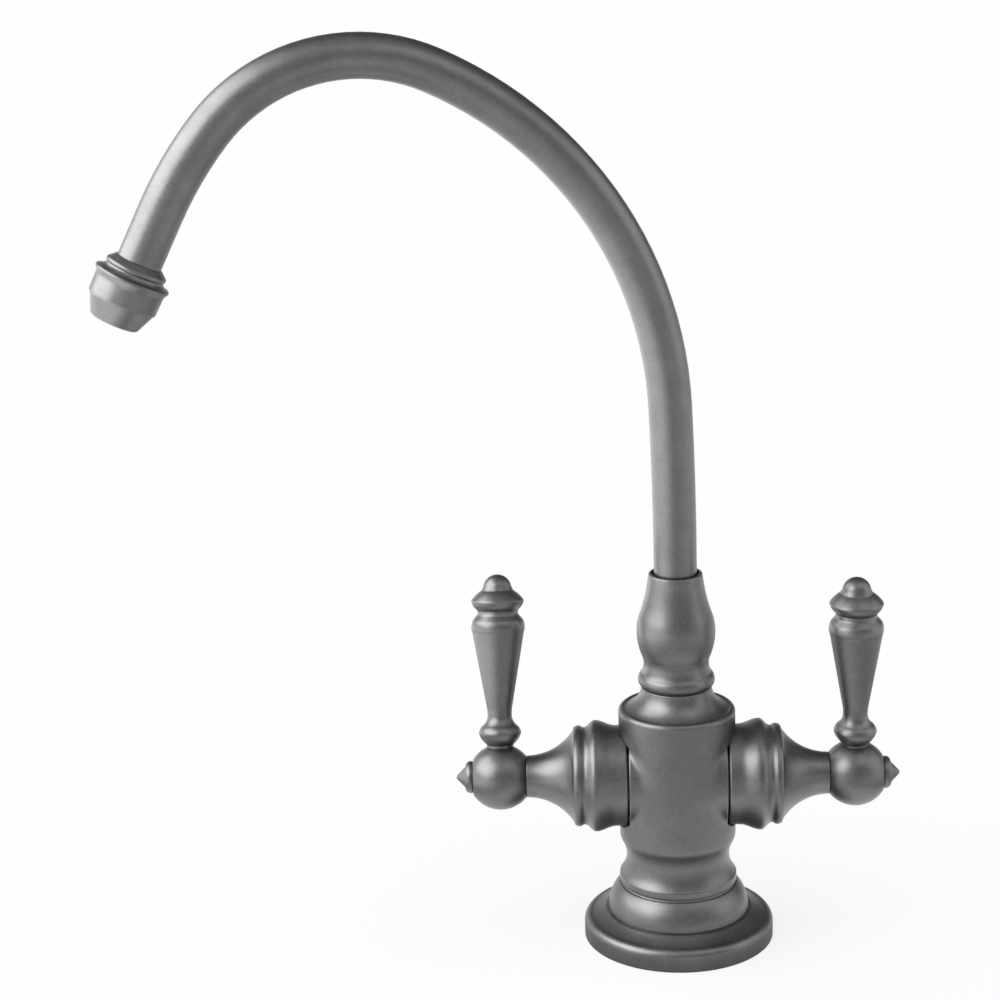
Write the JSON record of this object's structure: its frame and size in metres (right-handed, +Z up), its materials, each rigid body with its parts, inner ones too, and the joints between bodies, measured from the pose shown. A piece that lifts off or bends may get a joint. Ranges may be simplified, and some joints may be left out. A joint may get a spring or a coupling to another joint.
{
  "type": "hot and cold faucet",
  "caption": "Single-hole bar faucet with a high swivelling gooseneck spout, a turned column body and an upright lever with a finial on each side.",
  "frame": {"origin": "centre of the deck hole on the deck's top face, on the spout's turning axis", "axes": "+X to the cold side along both handles' axis, -Y towards the person at the sink, +Z up"},
  "size_m": [0.2164, 0.0676, 0.3624],
  "materials": {
    "pewter_plate": "dark satin pewter plating, lightly tumbled",
    "plain_brass": "machined, unplated",
    "copper": "drawn copper tube, satin",
    "zinc_steel": "bright zinc plated",
    "stainless": "plain stainless steel",
    "black_rubber": "matt moulded",
    "white_ceramic": "lapped alumina ceramic",
    "white_acetal": "plain moulded"
  },
  "bodies": {
    "valve": {"base_flange": "pewter_plate", "base_gasket": "black_rubber", "valve_body": "pewter_plate", "threaded_shank": "plain_brass", "deck_washer_rubber": "black_rubber", "deck_washer_steel": "zinc_steel", "mounting_nut": "plain_brass", "spout_nut": "pewter_plate", "thrust_washer": "white_acetal", "hot_bonnet": "pewter_plate", "hot_cartridge_body": "plain_brass", "hot_cartridge_seal": "black_rubber", "hot_fixed_disc": "white_ceramic", "hot_stem_seal": "black_rubber", "hot_inlet_tail": "copper", "hot_inlet_connector": "plain_brass", "cold_bonnet": "pewter_plate", "cold_cartridge_body": "plain_brass", "cold_cartridge_seal": "black_rubber", "cold_fixed_disc": "white_ceramic", "cold_stem_seal": "black_rubber", "cold_inlet_tail": "copper", "cold_inlet_connector": "plain_brass"},
    "spout": {"spout_tube": "pewter_plate", "spout_ferrule": "plain_brass", "spout_seals": "black_rubber", "outlet_ring": "pewter_plate", "aerator_housing": "pewter_plate", "aerator_gasket": "black_rubber", "aerator_screen": "stainless", "aerator_insert": "white_acetal"},
    "hot_handle": {"hot_stem": "plain_brass", "hot_rotating_disc": "white_ceramic", "hot_stem_clip": "stainless", "hot_ball_hub": "pewter_plate", "hot_hub_screw": "stainless", "hot_hub_cap": "pewter_plate", "hot_lever": "pewter_plate", "hot_lever_finial": "pewter_plate"},
    "cold_handle": {"cold_stem": "plain_brass", "cold_rotating_disc": "white_ceramic", "cold_stem_clip": "stainless", "cold_ball_hub": "pewter_plate", "cold_hub_screw": "stainless", "cold_hub_cap": "pewter_plate", "cold_lever": "pewter_plate", "cold_lever_finial": "pewter_plate"}
  },
  "joints": [
    {"name": "spout_swivel", "type": "hinge", "parent": "valve", "child": "spout", "pos_m": [0, 0, 0.07], "axis": [0, 0, 1], "continuous": true},
    {"name": "hot_handle", "type": "hinge", "parent": "valve", "child": "hot_handle", "pos_m": [-0.0507, 0, 0.04885], "axis": [1, 0, 0], "range_deg": [0, 90]},
    {"name": "cold_handle", "type": "hinge", "parent": "valve", "child": "cold_handle", "pos_m": [0.0507, 0, 0.04885], "axis": [1, 0, 0], "range_deg": [0, 90]}
  ]
}
